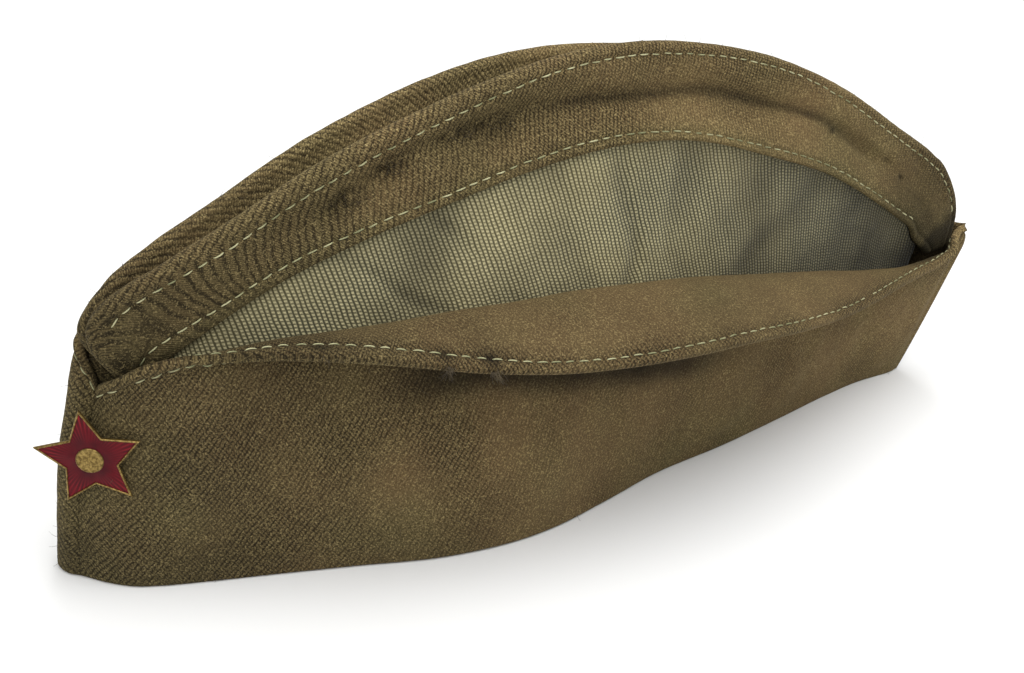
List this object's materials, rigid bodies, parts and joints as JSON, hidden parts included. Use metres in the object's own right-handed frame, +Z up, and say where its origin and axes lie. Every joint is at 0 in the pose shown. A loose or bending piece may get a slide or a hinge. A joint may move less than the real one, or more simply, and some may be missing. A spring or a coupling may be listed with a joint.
{
  "type": "garrison cap",
  "caption": "Folding wool side cap with a pleated crown, cotton lower wall, one turn-up flap opened outward and one closed, and an enamelled star badge at the front.",
  "frame": {"origin": "middle of the cap's footprint box, on the surface it stands on", "axes": "+X toward the back of the cap, -Y toward the wearer's left side, +Z up"},
  "size_m": [0.2944, 0.0738, 0.1197],
  "materials": {
    "wool": "napped olive-brown wool twill",
    "cotton": "greenish khaki cotton twill",
    "brass": "tarnished stamped brass",
    "enamel": "polished translucent red enamel"
  },
  "bodies": {
    "root": {"crown_left": "wool", "crown_right": "wool", "lower_wall_left": "cotton", "lower_wall_right": "cotton", "flap_left": "wool", "flap_right": "wool", "star_body": "brass", "star_enamel": "enamel", "star_boss": "brass", "star_post": "brass"}
  },
  "joints": []
}
